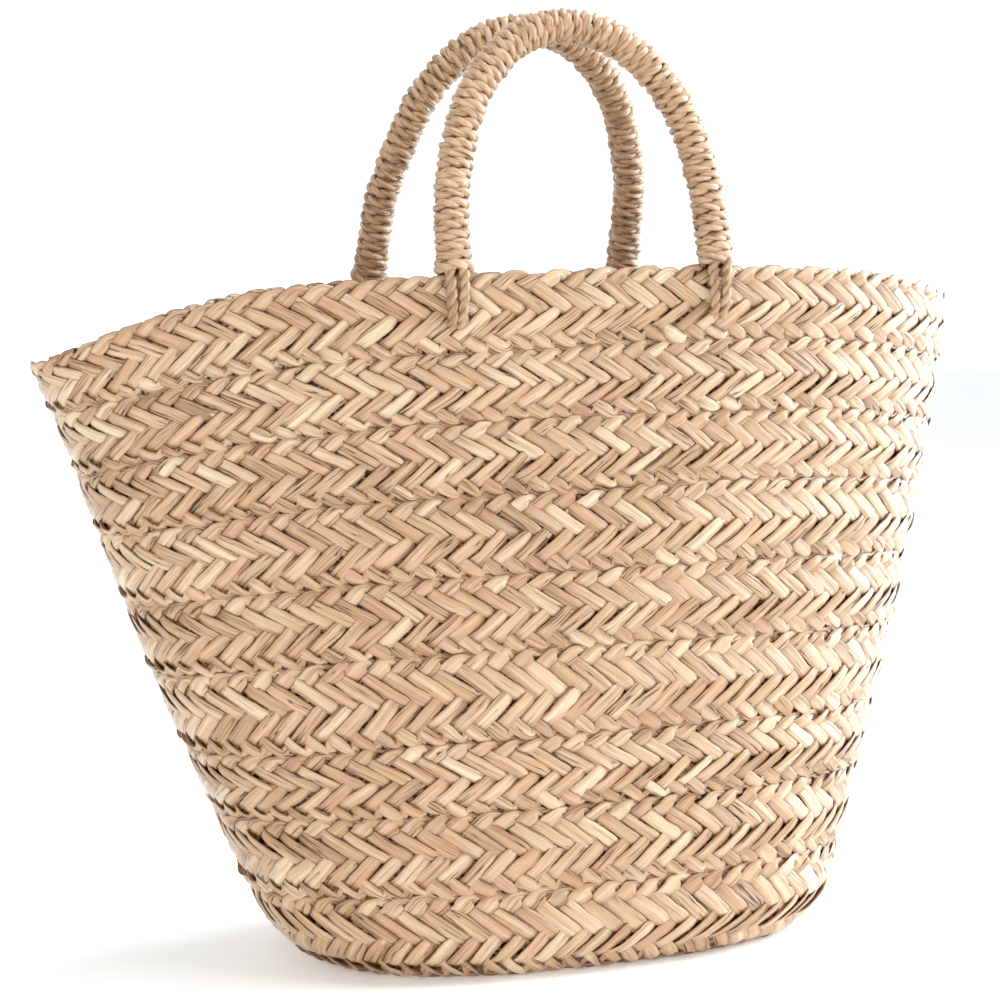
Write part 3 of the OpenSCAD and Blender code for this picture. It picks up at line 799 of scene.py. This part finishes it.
def smooth_line(points, count):
    """Evenly spaced points on a smooth curve through given points, and its length."""
    p = np.array(points)
    p = np.concatenate([[2 * p[0] - p[1]], p, [2 * p[-1] - p[-2]]])
    pieces = []
    for k in range(1, len(p) - 2):
        t = np.linspace(0, 1, 24, endpoint=False)[:, None]
        a, b, c, d = p[k - 1], p[k], p[k + 1], p[k + 2]
        pieces.append(0.5 * ((2 * b) + (c - a) * t + (2 * a - 5 * b + 4 * c - d) * t ** 2
                             + (3 * b - a - 3 * c + d) * t ** 3))
    line = np.concatenate(pieces + [p[-2:-1]])
    length = np.concatenate([[0], np.cumsum(np.linalg.norm(np.diff(line, axis=0), axis=1))])
    s = np.linspace(0, length[-1], count)
    return np.stack([np.interp(s, length, line[:, k]) for k in range(3)], axis=-1), length[-1]


def lashing(handle, leg, chance):
    """Rings of the four plies of the two cords at one leg end, and the cords' length."""
    side = handle["side"]
    x = handle["shift"] + leg * handle["half"]
    face_low = side_depth(x, 1 - LASH_DROP / RIM_HEIGHT)
    face_top = side_depth(x, 1.0)
    leg_y = leg_depth(handle)
    z_end = handle["rim"] + LEG_CLEARANCE
    z_low = handle["rim"] - LASH_DROP
    plies = []
    runs = []
    for spread in (-1, 1):
        # from under the wrap, down the outside, through the opening and up the inside again
        route = [(x + spread * 3.0 * MM, side * (leg_y + 2.0 * MM), z_end + 5 * MM),
                 (x + spread * 3.3 * MM, side * (leg_y + 5.2 * MM), z_end + 0.8 * MM),
                 (x + spread * 3.5 * MM, side * (face_top + 2.4 * MM), z_end - 4 * MM),
                 (x + spread * 3.1 * MM, side * (face_top + 3.0 * MM), z_end - 11 * MM),
                 (x + spread * 2.3 * MM, side * (face_low + 2.8 * MM), z_low + 4.5 * MM),
                 (x + spread * 2.0 * MM, side * (face_low - 0.6 * MM), z_low + 0.5 * MM),
                 (x + spread * 1.8 * MM, side * (face_low - 2 * HALF_BRAID), z_low + 0.5 * MM),
                 (x + spread * 2.2 * MM, side * (face_low - 2 * HALF_BRAID - 2.4 * MM), z_low + 4.5 * MM),
                 (x + spread * 3.6 * MM, side * (face_top - 2 * HALF_BRAID - 2.8 * MM), z_end - 11 * MM),
                 (x + spread * 4.0 * MM, side * (leg_y - 6.2 * MM), z_end - 4 * MM),
                 (x + spread * 3.2 * MM, side * (leg_y - 3.4 * MM), z_end + 1.5 * MM),
                 (x + spread * 2.4 * MM, side * (leg_y - 2.0 * MM), z_end + 5 * MM)]
        line, length = smooth_line(route, LASH_RINGS)
        tangent = unit(np.gradient(line, axis=0))
        sideways = unit(np.cross(tangent, np.array([1.0, 0.15, 0.0])))
        other = np.cross(tangent, sideways)
        twist = np.linspace(0, length / LASH_TWIST * 2 * np.pi, len(line)) + chance.uniform(0, 6.28)
        for ply in (0, np.pi):
            offset = np.cos(twist + ply)[:, None] * sideways + np.sin(twist + ply)[:, None] * other
            marks = np.arange(0, LASH_RINGS, 7)
            lumps = np.interp(np.arange(LASH_RINGS), marks, chance.normal(0, 1, len(marks)))
            path = line + offset * LASH_PLY_OFFSET
            plies.append(tube_rings(path, LASH_PLY_RADIUS * (1 + 0.08 * lumps), CORD_SIDES, sideways))
        runs.append(length)
    return np.stack(plies), max(runs)


for number, (body, leg, node) in enumerate([
        ("front_handle", -1, "front_left_lashing"), ("front_handle", 1, "front_right_lashing"),
        ("back_handle", -1, "back_left_lashing"), ("back_handle", 1, "back_right_lashing")]):
    chance = np.random.default_rng(60 + number)
    handle = handles[body]
    plies, length = lashing(handle, leg, chance)
    mesh = strand_mesh(node + "_cord", plies, 0.5 + 0.12 * chance.normal(0, 1, (4, 3)), 0.55,
                       np.linspace(0, length, plies.shape[1]))
    piece = new_object(node + "_cord", mesh, lash_leaf)
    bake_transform(piece)
    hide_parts(node)


# ---------------------------------------------------------------------------------------------
# Floor and light. A white board that glows a little of itself, and a white backdrop behind it. A
# wide soft light hangs over the basket, one stands in front on the left and one at its right end.
# ---------------------------------------------------------------------------------------------
def white_sheet(name, corners, code, glow):
    mesh = bpy.data.meshes.new(name)
    mesh.from_pydata(corners, [], [(0, 1, 2, 3)])
    paint = bpy.data.materials.new("matt_white_" + name)
    paint.use_nodes = True
    shader = paint.node_tree.nodes["Principled BSDF"]
    shader.inputs["Base Color"].default_value = srgb(code)
    shader.inputs["Roughness"].default_value = 0.8
    shader.inputs["Emission Color"].default_value = srgb(code)
    shader.inputs["Emission Strength"].default_value = glow
    sheet = new_object(name, mesh, paint)


white_sheet("floor", [(-9, -9, 0), (9, -9, 0), (9, 9, 0), (-9, 9, 0)], "#f3f3f1", 0.26)
white_sheet("backdrop", [(-7, 3.0, -0.5), (7, 3.0, -0.5), (7, 3.0, 5), (-7, 3.0, 5)], "#f4fafd", 0.40)

world = bpy.data.worlds.new("studio")
world.use_nodes = True
world.node_tree.nodes["Background"].inputs["Color"].default_value = srgb("#f2f7fc")
world.node_tree.nodes["Background"].inputs["Strength"].default_value = 0.5
bpy.context.scene.world = world


def soft_light(name, place, target, size, power, colour):
    data = bpy.data.lights.new(name, "AREA")
    data.shape = "SQUARE"
    data.size = size
    data.energy = power
    data.color = colour
    light = bpy.data.objects.new(name, data)
    light.location = place
    light.rotation_euler = (Vector(target) - Vector(place)).to_track_quat("-Z", "Y").to_euler()
    bpy.context.scene.collection.objects.link(light)


warm_white = (1.0, 0.98, 0.95)
cool_white = (0.80, 0.92, 1.0)
soft_light("over", (0.25, -0.3, 1.9), (0, 0, 0.2), 1.0, 17, warm_white)
soft_light("front_left", (-1.2, -1.8, 0.85), (0, 0, 0.18), 0.9, 17.5, warm_white)
soft_light("beside_right", (1.35, 0.0, 0.75), (0.15, -0.05, 0.22), 1.4, 52, cool_white)
bpy.context.scene.view_settings.view_transform = "Standard"
